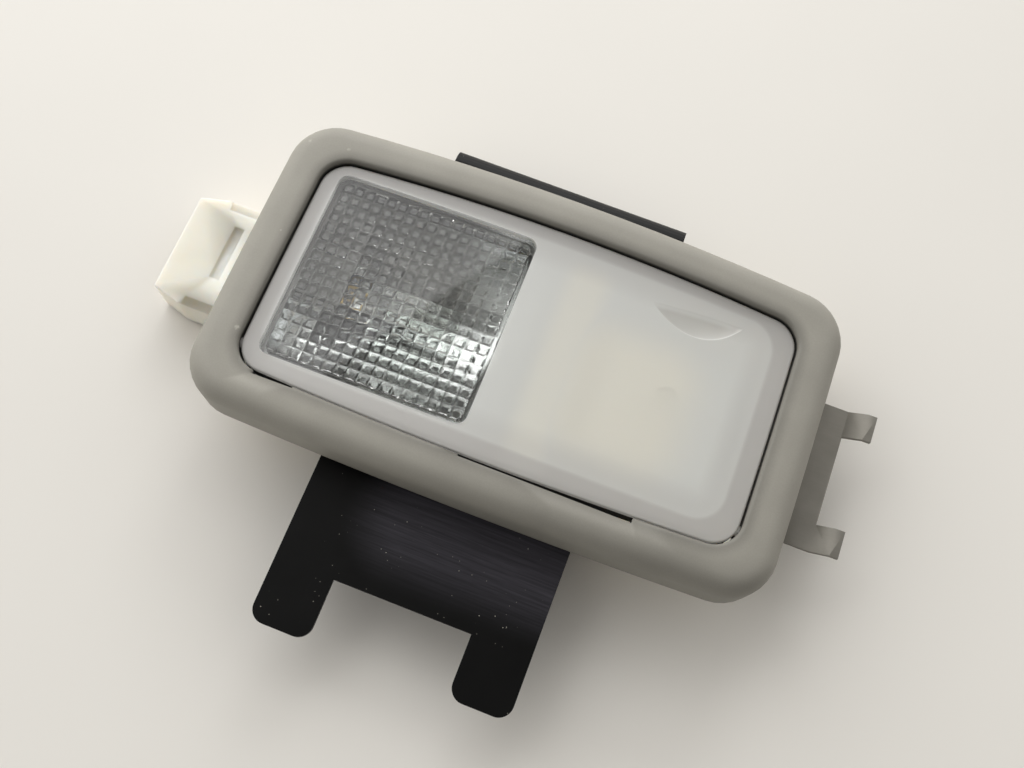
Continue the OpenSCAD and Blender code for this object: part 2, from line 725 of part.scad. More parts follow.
// The tray's lower edge is rounded off to clear the bends of the bracket
module tray() {
    edge = bend_r + air;
    difference() {
        loft(concat([opening_ring(housing_wall, seam_z, 0)],
            [for (a = [0:30:90]) opening_ring(housing_wall - edge * (1 - cos(a)), floor_low + edge * (1 - sin(a)), 0)]));
        slab(opening_outline(0), floor_z, seam_z + eps);
    }
}
module ledge(y0, y1) {
    box(-open_len / 2 - eps, ledge_len - open_len / 2, y0, y1, floor_z - eps, ledge_top);
}
// A rod along Y on the bracket's screw line, on the side s
module side_rod(s, from, to, r) {
    rod_y(bracket_mid, s > 0 ? from : -to, s > 0 ? to : -from, side_screw_z, r);
}
module tower() {
    half = tower_wid / 2;
    difference() {
        box(tower_left, tower_left + tower_len, switch_y - half, switch_y + half, floor_z - eps, tower_top);
        box(tower_left + tower_wall, tower_left + tower_len - tower_wall, switch_y - half + tower_wall,
            switch_y + half - tower_wall, floor_z, tower_top + eps);
    }
}
// Screw ears under the corners of the bezel, and the ear that locates the light beside one of them
module ears() {
    reach = bezel_len / 2 - ear_corner;
    side = bezel_wid / 2 - ear_corner;
    translate([0, 0, ear_z - ear_thick])
        linear_extrude(ear_thick)
            difference() {
                union() {
                    for (sx = [-1, 1], sy = [-1, 1])
                        translate([sx * ear_x, sy * ear_y]) {
                            circle(ear_wid / 2);
                            translate([sx > 0 ? -ear_wid : 0, -ear_wid / 2])
                                square([ear_wid, ear_wid]);
                        }
                    intersection() {
                        translate([reach, side])
                            square(bezel_len);
                        polygon(bezel_outline(-ear_peep));
                    }
                }
                polygon(opening_outline(eps));
            }
}
module shroud() {
    half = shroud_wid / 2;
    mouth = -shroud_reach;
    root = -open_len / 2 - eps;
    difference() {
        slab([[root, half], [mouth + shroud_taper, half], [mouth, half - shroud_pinch],
            [mouth, shroud_pinch - half], [mouth + shroud_taper, -half], [root, -half]], shroud_lift, shroud_top);
        for (s = [-1, 1])
            box(mouth + step_in, root - housing_wall, s > 0 ? half - step_wid : -half - 1,
                s > 0 ? half + 1 : step_wid - half, shroud_top - step_deep, shroud_top + 1);
    }
}
module shroud_cavity() {
    half = shroud_wid / 2 - shroud_wall;
    mouth = -shroud_reach;
    back = -tray_len / 2 - shroud_wall;
    slab([[back, half], [mouth + shroud_taper, half], [mouth - eps, half - shroud_pinch],
        [mouth - eps, shroud_pinch - half], [mouth + shroud_taper, -half], [back, -half]],
        shroud_lift + shroud_wall, shroud_top - shroud_wall);
    box(mouth + latch_in, mouth + latch_in + latch_len, latch_y - latch_wid / 2, latch_y + latch_wid / 2,
        shroud_top - latch_deep, shroud_top + 1);
}
// Slots that the terminal strips lie in
module strip_slots() {
    w = strip_wid / 2 + strip_room;
    h = strip_thick / 2 + strip_room;
    for (y = [-pin_pitch, 0, pin_pitch])
        box(-tray_len / 2 - shroud_wall - 1, 1 - open_len / 2, y - w, y + w, pin_z - h, pin_z + h);
    for (y = [-pin_pitch, contact_out_y, pin_pitch])
        box(partition_x - partition, tower_left + tower_wall + 1, y - w, y + w, floor_z, strip_z + h);
}

module reflector() {
    color([0.72, 0.73, 0.74])
        difference() {
            union() {
                difference() {
                    intersection() {
                        slab(opening_outline(-2 * air), ledge_top, reflector_top);
                        box(riser_x - air, partition_x, -plate_half, plate_half, 0, body_height);
                    }
                    slab(bowl_outline(1, 0), ledge_top - 1, reflector_top + 1);
                }
                difference() {
                    loft(bowl_rings(reflector_wall, 0));
                    loft(bowl_rings(0, 1));
                }
            }
            box(socket_left - 1, socket_right + air, bulb_y - socket_half - air, bulb_y + socket_half + air,
                socket_low - air, ledge_top);
        }
}
// Outline of the bowl, from its valley at share 0 to its rim at share 1
function bowl_outline(share, out) = let (
    left = bowl_left + valley_left_in * (1 - share),
    right = bowl_right - valley_right_in * (1 - share),
    low = bowl_low_y * share + (valley_y - valley_wid / 2) * (1 - share),
    high = bowl_high_y * share + (valley_y + valley_wid / 2) * (1 - share),
    r = bowl_corner * share + valley_corner * (1 - share))
    [for (p = square_loop((right - left) / 2 + out, (high - low) / 2 + out, r + out))
        p + [(left + right) / 2, (low + high) / 2]];
// The bowl is a trough whose walls steepen towards the rim
function bowl_rings(out, above) = let (low = floor_z + valley_lift, rim = ledge_top - low, n = 7)
    concat([crowned(bowl_outline(1, out), reflector_top + above, 0)],
        [for (k = [n:-1:0]) let (share = k / n)
            crowned(bowl_outline(share, out), low + rim * pow(share, bowl_curve) - out * (1 - share), 0)]);

module bulb_glass() {
    color([0.85, 0.9, 0.92, 0.4])
        difference() {
            union() {
                bulb_turned(0);
                box(bulb_left - wedge_len, bulb_left + 2, bulb_y - wedge_wid / 2, bulb_y + wedge_wid / 2,
                    bulb_z - wedge_thick / 2, bulb_z + wedge_thick / 2);
            }
            bulb_turned(glass_wall);
            for (s = [-1, 1])
                rod_x(bulb_left - wedge_len - 1, bulb_left + 4, bulb_y + s * lead_y, bulb_z, lead_r);
        }
}
module bulb_turned(inset) {
    translate([bulb_left, bulb_y, bulb_z])
        rotate([90, 0, 90])
            rotate_extrude()
                polygon(bulb_outline(inset));
}
// Half section of the glass: a shoulder out of the wedge, a straight tube and a round tip
function bulb_outline(inset) = let (
    r = bulb_r - inset,
    tip = bulb_len - inset,
    foot = inset > 0 ? 2.6 : 0,
    shoulder = 1.6,
    neck = r - 0.9)
    concat([[0, foot], [neck, foot], [r, foot + shoulder], [r, tip - r]],
        [for (a = [15:15:75]) [r * cos(a), tip - r + r * sin(a)]], [[0, tip]]);
// The two lead wires and the filament across their ends
module bulb_filament() {
    end = bulb_left + lead_out;
    half = lead_y + 2 * lead_r;
    color([0.5, 0.48, 0.45]) {
        for (s = [-1, 1])
            rod_x(bulb_left - wedge_len, end, bulb_y + s * lead_y, bulb_z, lead_r);
        rod_y(end, bulb_y - half, bulb_y + half, bulb_z, lead_r + 0.1);
    }
}
module bulb_socket() {
    grip = socket_half - socket_wall;
    w = strip_wid / 2 + strip_room;
    t = strip_thick / 2 + strip_room;
    mid = socket_left + socket_foot;
    low_y = bulb_y - socket_half;
    high_y = bulb_y + socket_half;
    color([0.16, 0.16, 0.17])
        difference() {
            union() {
                box(socket_left, mid, low_y, high_y, floor_z, socket_top);
                box(mid - eps, socket_right, low_y, high_y, socket_low, socket_top);
            }
            box(bulb_left - wedge_len - air, socket_right + 1, bulb_y - grip, bulb_y + grip,
                bulb_z - wedge_thick / 2 - strip_room, bulb_z + wedge_thick / 2 + strip_room);
            box(socket_left - 1, socket_right + 1, contact_in_y - w, contact_in_y + w, bulb_z, bulb_z + contact_lift + t);
            box(socket_left - 1, socket_right + 1, contact_out_y - w, contact_out_y + w,
                bulb_z - contact_lift - t, bulb_z);
            for (y = [-pin_pitch, contact_out_y, pin_pitch])
                box(socket_left - 1, mid + 1, y - w, y + w, floor_z - 1, strip_z + t);
        }
}

module brass_strip(path, y) {
    color([0.8, 0.62, 0.3])
        strip_xz(path, strip_thick, strip_wid, y);
}
module terminal_battery() {
    z = bulb_z + contact_lift;
    brass_strip([[pin_tip, pin_z], [riser_x, pin_z], [riser_x, z], [contact_end, z]], contact_in_y);
}
module terminal_ground() {
    brass_strip([[pin_tip, pin_z], [riser_x, pin_z], [riser_x, strip_z], [switch_x + 5, strip_z]], -pin_pitch);
}
module terminal_door() {
    brass_strip([[pin_tip, pin_z], [riser_x, pin_z], [riser_x, strip_z], [switch_x + 5, strip_z]], pin_pitch);
}
module bulb_contact_bar() {
    z = bulb_z - contact_lift;
    brass_strip([[contact_end, z], [riser_x, z], [riser_x, strip_z], [switch_x - 3, strip_z]], contact_out_y);
}

module switch_body() {
    half = switch_size / 2;
    color([0.13, 0.13, 0.14])
        difference() {
            box(switch_x - half, switch_x + half, switch_y - half, switch_y + half, switch_low, switch_top);
            rod_z(switch_x, switch_y, well_low, switch_top + 1, well_r);
        }
}
module switch_lid() {
    half = tower_wid / 2;
    inner = tower_wall + strip_room;
    color([0.88, 0.86, 0.8])
        difference() {
            union() {
                box(tower_left, tower_left + tower_len, switch_y - half, switch_y + half, tower_top, lid_top);
                box(tower_left + inner, tower_left + tower_len - inner, switch_y - half + inner,
                    switch_y + half - inner, switch_top, tower_top + eps);
            }
            rod_z(switch_x, switch_y, switch_top - 1, lid_top + 1, stem_r + stem_gap);
        }
}
module switch_plunger() {
    color([0.92, 0.91, 0.88]) {
        rod_z(switch_x, switch_y, collar_low, stem_top, stem_r);
        rod_z(switch_x, switch_y, collar_low, collar_low + collar_high, well_r - air);
    }
}
module switch_bridge() {
    color([0.82, 0.68, 0.36])
        rod_z(switch_x, switch_y, collar_low - bridge_thick, collar_low, well_r - 2 * air);
}
// Coil spring under the bridge, swept as a tube round a helix
module switch_spring() {
    sides = 6;
    per_turn = 16;
    steps = spring_turns * per_turn;
    wire_r = wire_d / 2;
    coil_r = well_r - spring_room - wire_r;
    rise = spring_high - wire_d;
    ring = function (k) let (a = 360 * k / per_turn)
        [for (s = [0:sides - 1]) let (b = 360 * s / sides, r = coil_r + wire_r * cos(b))
            [switch_x + r * cos(a), switch_y + r * sin(a), well_low + wire_r + rise * k / steps + wire_r * sin(b)]];
    color([0.7, 0.7, 0.72])
        loft([for (k = [steps:-1:0]) ring(k)]);
}

module mounting_bracket() {
    mid = sheet / 2;
    flange = flange_z - mid;
    wall = wall_y + mid;
    r = bend_r + mid;
    legs = [leg_tip, flange];
    leg_bend = [-wall, flange];
    leg_foot = [-wall, mid];
    lip_foot = [wall, mid];
    lip_bend = [wall, flange];
    lip_top = [lip_reach - mid, flange];
    lip_end = [lip_reach - mid, flange_z - lip_deep];
    path = concat([legs], bend(legs, leg_bend, leg_foot, r), bend(leg_bend, leg_foot, lip_foot, r),
        bend(leg_foot, lip_foot, lip_bend, r), bend(lip_foot, lip_bend, lip_top, r),
        bend(lip_bend, lip_top, lip_end, 2 * r - mid), [lip_end]);
    color([0.05, 0.05, 0.055])
        difference() {
            strip_yz(path, sheet, bracket_left, bracket_right);
            leg_cut();
            rod_y(bracket_mid, -wall_y - sheet - 1, wall_y + sheet + 1, side_screw_z, side_screw_r + screw_gap);
        }
}
// What is cut from the flange: the notch, and the round corners of both legs
module leg_cut() {
    translate([0, 0, flange_z - sheet - 1])
        linear_extrude(sheet + 2) {
            translate([bracket_left + leg_wid, leg_tip - 1])
                square([bracket_right - bracket_left - 2 * leg_wid, notch_deep + 1]);
            for (x = [bracket_left, bracket_right - leg_wid]) {
                corner_cut(x, 1);
                corner_cut(x + leg_wid, -1);
            }
        }
}
module corner_cut(x, s) {
    r = leg_corner;
    difference() {
        translate([min(x, x + s * r), leg_tip - 1])
            square([r, r + 1]);
        translate([x + s * r, leg_tip + r])
            circle(r);
    }
}
// A screw with a flat head and a cross recess, its shank up +Z from z = 0 and its head below
module screw(r, long, head_r) {
    difference() {
        union() {
            cylinder(r = r, h = long);
            translate([0, 0, -screw_head_h])
                cylinder(r = head_r, h = screw_head_h);
        }
        for (turn = [0, 90])
            rotate([0, 0, turn])
                translate([0, 0, -screw_head_h])
                    cube([head_r, cross_wid, screw_head_h], center = true);
    }
}
module bracket_screws() {
    color([0.55, 0.55, 0.56])
        for (s = [-1, 1])
            translate([bracket_mid, s * (wall_y + sheet), side_screw_z])
                rotate([s * 90, 0, 0])
                    screw(side_screw_r, sheet + air + housing_wall + side_boss, side_screw_r + side_head);
}
module bezel_screws() {
    low = ear_z - ear_thick;
    color([0.55, 0.55, 0.56])
        for (sx = [-1, 1], sy = [-1, 1])
            translate([sx * ear_x, sy * ear_y, low])
                screw(screw_r, boss_top - boss_cover - 1 - low, boss_r);
}
module spring_clip() {
    t = clip_sheet;
    half = clip_wid / 2;
    x0 = clip_wall_x + t / 2;
    top = clip_z + finger_rise;
    foot = [x0, rivet_z - rivet_head_r - t];
    knee = [x0, clip_z];
    end = [clip_reach, clip_z];
    color([0.5, 0.49, 0.46])
        difference() {
            union() {
                strip_xz(concat([foot], bend(foot, knee, end, clip_bend), [end]), t, clip_wid, 0);
                for (s = [-1, 1])
                    strip_xz([end - [1, 0], end, [finger_reach - finger_tip, top], [finger_reach, top]],
                        t, finger_wid, s * (half - finger_wid / 2));
            }
            for (s = [-1, 1])
                rod_x(clip_wall_x - 1, clip_wall_x + t + 1, s * rivet_y, rivet_z, rivet_r + screw_gap);
        }
}
module clip_rivets() {
    out = clip_wall_x + clip_sheet;
    // the inside of the end wall, where its bow leaves least room for a head
    inner = open_len / 2 - lens_bow_short * pow((rivet_y + rivet_head_r) / (open_wid / 2 - lens_bow_long), 2);
    color([0.62, 0.62, 0.62])
        for (s = [-1, 1]) {
            rod_x(inner - rivet_head_h, out + rivet_head_h, s * rivet_y, rivet_z, rivet_r);
            rod_x(out, out + rivet_head_h, s * rivet_y, rivet_z, rivet_head_r);
            rod_x(inner - rivet_head_h, inner, s * rivet_y, rivet_z, rivet_head_r);
        }
}

bezel();
lens();
housing();
reflector();
bulb_glass();
bulb_filament();
bulb_socket();
terminal_battery();
terminal_ground();
terminal_door();
bulb_contact_bar();
switch_body();
switch_lid();
switch_plunger();
switch_spring();
switch_bridge();
mounting_bracket();
bracket_screws();
spring_clip();
clip_rivets();
bezel_screws();
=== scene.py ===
# Car dome light, lying on its back on a pale table. Lengths are in metres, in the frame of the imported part.
import math

import bmesh
import bpy
from mathutils import Euler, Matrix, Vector


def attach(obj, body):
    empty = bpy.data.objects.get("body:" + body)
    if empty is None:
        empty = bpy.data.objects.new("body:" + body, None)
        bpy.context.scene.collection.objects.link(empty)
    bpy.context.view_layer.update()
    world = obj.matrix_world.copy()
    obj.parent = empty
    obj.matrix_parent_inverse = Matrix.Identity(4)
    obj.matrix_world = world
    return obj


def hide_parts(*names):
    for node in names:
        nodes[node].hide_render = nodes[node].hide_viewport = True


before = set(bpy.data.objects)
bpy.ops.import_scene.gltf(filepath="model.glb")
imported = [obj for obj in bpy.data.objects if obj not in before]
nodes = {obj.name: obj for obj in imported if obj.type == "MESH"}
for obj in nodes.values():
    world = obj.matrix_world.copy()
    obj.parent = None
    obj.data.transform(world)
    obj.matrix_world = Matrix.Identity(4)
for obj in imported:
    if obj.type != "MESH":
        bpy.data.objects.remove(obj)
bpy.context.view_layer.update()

mm = 0.001
# the lamp's front bulges by this rise at mid length, over half its length to either side
crown = {"rise": 2.4 * mm, "half": 60 * mm}
print("frame loaded:", len(nodes), "nodes")


# helpers

def fromHex(code):
    # sRGB hex to the linear colour that the shaders take
    parts = [int(code[i:i + 2], 16) / 255 for i in (1, 3, 5)]
    return [c / 12.92 if c <= 0.04045 else ((c + 0.055) / 1.055) ** 2.4 for c in parts] + [1]


def setInputs(tree, node, inputs):
    # an input takes a number, a colour as sRGB hex, a socket, or a node that stands for its first output
    for name, value in inputs.items():
        if isinstance(value, bpy.types.Node):
            value = value.outputs[0]
        if isinstance(value, bpy.types.NodeSocket):
            tree.links.new(value, node.inputs[name])
        else:
            node.inputs[name].default_value = fromHex(value) if isinstance(value, str) else value


def addNode(tree, kind, inputs=None, **settings):
    node = tree.nodes.new("ShaderNode" + kind)
    for name, value in settings.items():
        setattr(node, name, value)
    setInputs(tree, node, inputs or {})
    return node


def startMaterial(name):
    material = bpy.data.materials.new(name)
    material.use_nodes = True
    tree = material.node_tree
    place = addNode(tree, "TexCoord").outputs["Object"]
    return material, tree, tree.nodes["Principled BSDF"], place


def between(span, levels):
    # the ends of a Map Range node, which stretches a span of values over two levels
    return {"From Min": span[0], "From Max": span[1], "To Min": levels[0], "To Max": levels[1]}


def combine(tree, operation, *values):
    # one value from several, taken in turn
    result = values[0]
    for value in values[1:]:
        result = addNode(tree, "Math", {0: result, 1: value}, operation=operation)
    return result


def mask(tree, *steps):
    # product of soft steps, each a length, the start and end of its step in millimetres, and its two levels
    # if they aren't 0 and 1
    softened = []
    for length, start, end, *levels in steps:
        ends = between((start * mm, end * mm), levels or (0, 1))
        softened.append(addNode(tree, "MapRange", {"Value": length} | ends, interpolation_type="SMOOTHSTEP"))
    return combine(tree, "MULTIPLY", *softened)


def layered(tree, colour, *layers):
    # a colour under others, each with the share of it that shows; 6, 7 and 2 are a Mix node's colour sockets
    for share, coat in layers:
        colour = addNode(tree, "Mix", {0: share, 6: colour, 7: coat}, data_type="RGBA").outputs[2]
    return colour


def overCrown(tree, place):
    # height of a point as if the lamp's crowned front were flat
    axes = addNode(tree, "SeparateXYZ", {"Vector": place}).outputs
    square = combine(tree, "MULTIPLY", axes["X"], axes["X"])
    return addNode(tree, "Math", {0: square, 1: crown["rise"] / crown["half"] ** 2, 2: axes["Z"]},
                   operation="MULTIPLY_ADD")


def beyondOutline(tree, place, middle, half, bow, corner):
    # metres outside a rectangle with round corners and bowed sides; its sizes are given in millimetres
    centre = (middle[0] * mm, middle[1] * mm, 0)
    centred = addNode(tree, "VectorMath", {0: place, 1: centre}, operation="SUBTRACT")
    axes = addNode(tree, "SeparateXYZ", {"Vector": centred}).outputs
    squares = []
    for k, (along, across) in enumerate((("X", "Y"), ("Y", "X"))):
        bend = bow[k] / (half[1 - k] ** 2 * mm)
        inset = (corner - half[k]) * mm
        square = combine(tree, "MULTIPLY", axes[across], axes[across])
        bowed = addNode(tree, "Math", {0: square, 1: bend, 2: inset}, operation="MULTIPLY_ADD")
        distance = addNode(tree, "Math", {0: axes[along]}, operation="ABSOLUTE")
        outside = combine(tree, "MAXIMUM", combine(tree, "ADD", distance, bowed), 0)
        squares.append(combine(tree, "MULTIPLY", outside, outside))
    reach = addNode(tree, "Math", {0: combine(tree, "ADD", *squares)}, operation="SQRT")
    return combine(tree, "SUBTRACT", reach, corner * mm)


def letLightIn(tree, shader, colour):
    # light reaches what lies behind the clear plastic or glass
    ray = addNode(tree, "LightPath").outputs["Is Shadow Ray"]
    clear = addNode(tree, "BsdfTransparent", {"Color": colour})
    through = addNode(tree, "MixShader", {0: ray, 1: shader, 2: clear})
    setInputs(tree, tree.nodes["Material Output"], {"Surface": through})


# materials

def mouldedPolypropylene():
    # injection moulded polypropylene with a spark-eroded grain: matte, warm grey and faintly mottled
    look = {"colour": "#9b988f", "worn": "#b6b3a8", "roughness": 0.56, "refraction": 1.49, "edge": 0.8 * mm,
            "grain": 0.3 * mm, "grainSpan": (0.35, 0.65), "grainShade": (0.97, 1.02),
            "grainHeight": 0.04 * mm, "grainStrength": 0.2,
            "mottle": 9 * mm, "mottleSpan": (0.3, 0.7), "mottleShade": (0.95, 1.04),
            "opening": {"middle": (0, 0), "half": (51.3, 25.575), "bow": (0.19, 1.73), "corner": 5.6},
            "grime": (0, 3, 0.66, 1), "slot": (25.6, 26.7), "gap": (0.75, 1.3), "gapShade": 0.05,
            "sideAcross": (-22, -30), "sideAlong": (-40, 20), "sideShade": 0.8}
    material, tree, shader, place = startMaterial("mouldedPolypropylene")
    # the grain is drawn coarser than the real one, so that it shows
    grain = addNode(tree, "TexNoise", {"Vector": place, "Scale": 1 / look["grain"], "Detail": 2,
                                       "Roughness": 0.6})
    mottle = addNode(tree, "TexNoise", {"Vector": place, "Scale": 1 / look["mottle"], "Detail": 3})
    speck = addNode(tree, "MapRange", {"Value": grain} | between(look["grainSpan"], look["grainShade"]))
    shade = addNode(tree, "MapRange", {"Value": mottle} | between(look["mottleSpan"], look["mottleShade"]))
    # painted shade darkens the face along the edge of the lens opening, and blackens the slots and the gap
    # below it
    away = beyondOutline(tree, place, **look["opening"])
    grime = mask(tree, (away, *look["grime"]))
    # painted shade: the slots and the gap round the lens are drawn nearly black
    unshaded = combine(tree, "MAXIMUM", mask(tree, (overCrown(tree, place), *look["slot"])),
                    mask(tree, (away, *look["gap"])))
    dark = addNode(tree, "MapRange", {"Value": unshaded, "To Min": look["gapShade"]})
    # painted shade: the -Y side is greyer, more so towards +X
    axes = addNode(tree, "SeparateXYZ", {"Vector": place}).outputs
    shadedSide = mask(tree, (axes["Y"], *look["sideAcross"]), (axes["X"], *look["sideAlong"]))
    sideDarkening = addNode(tree, "MapRange", {"Value": shadedSide, "To Min": 1, "To Max": look["sideShade"]})
    tone = combine(tree, "MULTIPLY", shade, speck, sideDarkening, grime, dark)
    plastic = addNode(tree, "VectorMath", {0: fromHex(look["colour"])[:3], "Scale": tone}, operation="SCALE")
    edge = addNode(tree, "Bevel", {"Radius": look["edge"]}, samples=6)
    bump = addNode(tree, "Bump", {"Height": grain, "Normal": edge, "Strength": look["grainStrength"],
                                  "Distance": look["grainHeight"]})
    setInputs(tree, shader, {"Base Color": layered(tree, plastic, (wornSpots(tree, place), look["worn"])),
                             "Roughness": look["roughness"], "IOR": look["refraction"], "Normal": bump})
    return material


def wornSpots(tree, place):
    # share of rubbed plastic on the bezel; each spot is a place and a radius in millimetres
    spots = [((-53.2, 4.6, 25.6), 0.5), ((-52.3, -17.4, 25.7), 1.0), ((-23.3, -32.4, 27.1), 1.1),
             ((-56.4, 25.6, 25.4), 0.9), ((-58.2, 6.4, 25.2), 0.7), ((-47.9, 26.3, 26.2), 0.8)]
    look = {"ragged": 0.5 * mm, "core": 0.2, "raggedSpan": (0.25, 0.5), "most": 0.7}
    near = []
    for centre, radius in spots:
        away = addNode(tree, "VectorMath", {0: place, 1: [c * mm for c in centre]}, operation="DISTANCE")
        ends = between((radius * mm, look["core"] * radius * mm), (0, 1))
        near.append(addNode(tree, "MapRange", {"Value": away.outputs["Value"]} | ends))
    ragged = addNode(tree, "TexNoise", {"Vector": place, "Scale": 1 / look["ragged"], "Detail": 4})
    share = combine(tree, "MULTIPLY", combine(tree, "MAXIMUM", *near), ragged)
    return addNode(tree, "MapRange", {"Value": share} | between(look["raggedSpan"], (0, look["most"])))


def mouldedPolycarbonate():
    # clear polycarbonate: a glossy window, and a milky spark-eroded frost everywhere else, with painted shade
    # over the rim's walls and in the thumb scoop, a painted glow over the cream housing, and painted black
    # shade low on the side wall towards -Y
    look = {"clear": "#f6f8f6", "frost": "#f0f2ef", "creamGlow": "#fffcef", "rim": "#cac8c5",
            "scoop": "#cdcdc8", "wallShade": "#1c1b1a", "behind": "#eff0ee", "refraction": 1.58,
            "roughness": {"clear": 0.04, "outer": 0.36, "inner": 0.5, "wallShade": 0.6},
            "through": {"clear": 1, "outer": 0.42, "inner": 0.45, "wallShade": 0},
            "windowEdge": (0, 0.25), "towerEdge": (-5, 6, 1, 0), "humpEdge": (-3, 2, 0.7, 0),
            "rimEdge": (-0.5, 1.5), "nearRim": (-10, 0, 0, 0.55), "middle": 24.85,
            "scoopHeight": (25.95, 25.7), "scoopEdge": (-1, 0, 1, 0),
            "wallEdge": (-0.4, -0.15), "wallHeight": (25.5, 25.2), "wallSide": (-14, -22)}
    # regions of the lens, in millimetres; the tower and the hump are parts of the housing that show behind it
    regions = {"window": {"middle": (-25.8, 0.7), "half": (21.5, 20.7), "bow": (0.1, 0.1), "corner": 2},
               "face": {"middle": (-0.6, 0.6), "half": (46.6, 20.8), "bow": (0.2, 0.6), "corner": 5},
               "tower": {"middle": (22, -4), "half": (12, 13), "bow": (0, 0), "corner": 7},
               "hump": {"middle": (8, -1), "half": (4.5, 21), "bow": (0, 0), "corner": 3},
               "outline": {"middle": (0, 0), "half": (50.95, 25.225), "bow": (0.19, 1.73), "corner": 5.25}}
    material, tree, shader, place = startMaterial("mouldedPolycarbonate")
    axes = addNode(tree, "SeparateXYZ", {"Vector": place}).outputs
    height = overCrown(tree, place)
    beyond = {name: beyondOutline(tree, place, **region) for name, region in regions.items()}
    frost = mask(tree, (beyond["window"], *look["windowEdge"]))
    # painted light: the frost over the cream tower and hump is drawn warmer and brighter
    creamGlowShare = combine(tree, "MAXIMUM", mask(tree, (beyond["tower"], *look["towerEdge"])),
                    mask(tree, (beyond["hump"], *look["humpEdge"])))
    # painted shade: the frost over the rim's walls is drawn greyer
    rim = combine(tree, "MAXIMUM", mask(tree, (beyond["face"], *look["rimEdge"])),
                  mask(tree, (beyond["face"], *look["nearRim"])))
    # the thumb scoop is the only part of the face that lies lower; it is painted darker, as shade
    scoop = mask(tree, (height, *look["scoopHeight"]), (beyond["face"], *look["scoopEdge"]))
    # painted shade: low on the side wall towards -Y the lens is drawn black and opaque, where the gap lies
    wall = mask(tree, (beyond["outline"], *look["wallEdge"]), (height, *look["wallHeight"]),
                (axes["Y"], *look["wallSide"]))
    # the inner face lies below the middle of the crowned plate
    inner = addNode(tree, "Math", {0: height, 1: look["middle"] * mm}, operation="LESS_THAN")
    milky = layered(tree, look["frost"], (creamGlowShare, look["creamGlow"]), (scoop, look["scoop"]),
                    (rim, look["rim"]))
    tone = layered(tree, look["clear"], (frost, milky), (wall, look["wallShade"]))
    setInputs(tree, shader, {"Base Color": tone, "IOR": look["refraction"]})
    # 2 and 3 are a Mix node's number sockets
    for name, levels in (("Roughness", look["roughness"]), ("Transmission Weight", look["through"])):
        frosted = addNode(tree, "Mix", {0: inner, 2: levels["outer"], 3: levels["inner"]})
        moulded = addNode(tree, "Mix", {0: frost, 2: levels["clear"], 3: frosted})
        setInputs(tree, shader, {name: addNode(tree, "Mix", {0: wall, 2: moulded, 3: levels["wallShade"]})})
    letLightIn(tree, shader, look["behind"])
    return material


def naturalNylon(name, colour):
    # unpigmented nylon or acetal, moulded: waxy, slightly see-through at thin walls, with a low even shine
    look = {"roughness": 0.42, "refraction": 1.53, "edge": 0.3 * mm,
            "waxy": 0.85, "depth": 4 * mm, "depthByColour": (1, 0.8, 0.6),
            "flow": 14 * mm, "flowSpan": (0.3, 0.7), "flowShade": (0.96, 1.03)}
    material, tree, shader, place = startMaterial(name)
    flow = addNode(tree, "TexNoise", {"Vector": place, "Scale": 1 / look["flow"], "Detail": 2,
                                      "Distortion": 0.6})
    shade = addNode(tree, "MapRange", {"Value": flow} | between(look["flowSpan"], look["flowShade"]))
    tone = addNode(tree, "VectorMath", {0: fromHex(colour)[:3], "Scale": shade}, operation="SCALE")
    edge = addNode(tree, "Bevel", {"Radius": look["edge"]}, samples=4)
    setInputs(tree, shader, {"Base Color": tone, "Roughness": look["roughness"], "IOR": look["refraction"],
                             "Subsurface Weight": look["waxy"], "Subsurface Scale": look["depth"],
                             "Subsurface Radius": look["depthByColour"], "Normal": edge})
    return material


def filledNylon(name, colour):
    # glass filled nylon, moulded: charcoal to mid grey, with a dull, slightly fibrous face
    look = {"roughness": (0.4, 0.6), "refraction": 1.53, "fibre": 0.5 * mm, "edge": 0.2 * mm}
    material, tree, shader, place = startMaterial(name)
    fibre = addNode(tree, "TexNoise", {"Vector": place, "Scale": 1 / look["fibre"], "Detail": 3})
    rough = addNode(tree, "MapRange", {"Value": fibre} | between((0, 1), look["roughness"]))
    edge = addNode(tree, "Bevel", {"Radius": look["edge"]}, samples=4)
    setInputs(tree, shader, {"Base Color": colour, "Roughness": rough, "IOR": look["refraction"],
                             "Normal": edge})
    return material


def metallisedPlastic():
    # aluminium evaporated on a moulded bowl: a bright mirror, a little wavy, and painted darker beside the
    # bulb, as a painted dark reflection
    look = {"colour": "#d4d5d6", "dimmedMirror": "#83817f", "roughness": 0.14,
            "wave": 6 * mm, "waveHeight": 0.3 * mm, "waveStrength": 0.25,
            "dimPatch": {"middle": (-38, 14), "half": (22, 14), "bow": (0, 0), "corner": 6},
            "dimPatchEdge": (-4, 5, 1, 0)}
    material, tree, shader, place = startMaterial("metallisedPlastic")
    # painted reflection: this patch of the mirror is drawn darker
    dimPatch = mask(tree, (beyondOutline(tree, place, **look["dimPatch"]), *look["dimPatchEdge"]))
    wave = addNode(tree, "TexNoise", {"Vector": place, "Scale": 1 / look["wave"], "Detail": 1})
    bump = addNode(tree, "Bump", {"Height": wave, "Strength": look["waveStrength"],
                                  "Distance": look["waveHeight"]})
    setInputs(tree, shader, {"Base Color": layered(tree, look["colour"], (dimPatch, look["dimmedMirror"])),
                             "Metallic": 1, "Roughness": look["roughness"], "Normal": bump})
    return material


def blownGlass():
    # soda glass, blown: clear and smooth, with a bright edge
    look = {"colour": "#fbfdfc", "behind": "#f0f2f1", "refraction": 1.5, "roughness": (0, 0.05),
            "streak": 3 * mm}
    material, tree, shader, place = startMaterial("blownGlass")
    streak = addNode(tree, "TexNoise", {"Vector": place, "Scale": 1 / look["streak"], "Detail": 1})
    rough = addNode(tree, "MapRange", {"Value": streak} | between((0, 1), look["roughness"]))
    setInputs(tree, shader, {"Base Color": look["colour"], "Roughness": rough, "IOR": look["refraction"],
                             "Transmission Weight": 1})
    letLightIn(tree, shader, look["behind"])
    return material


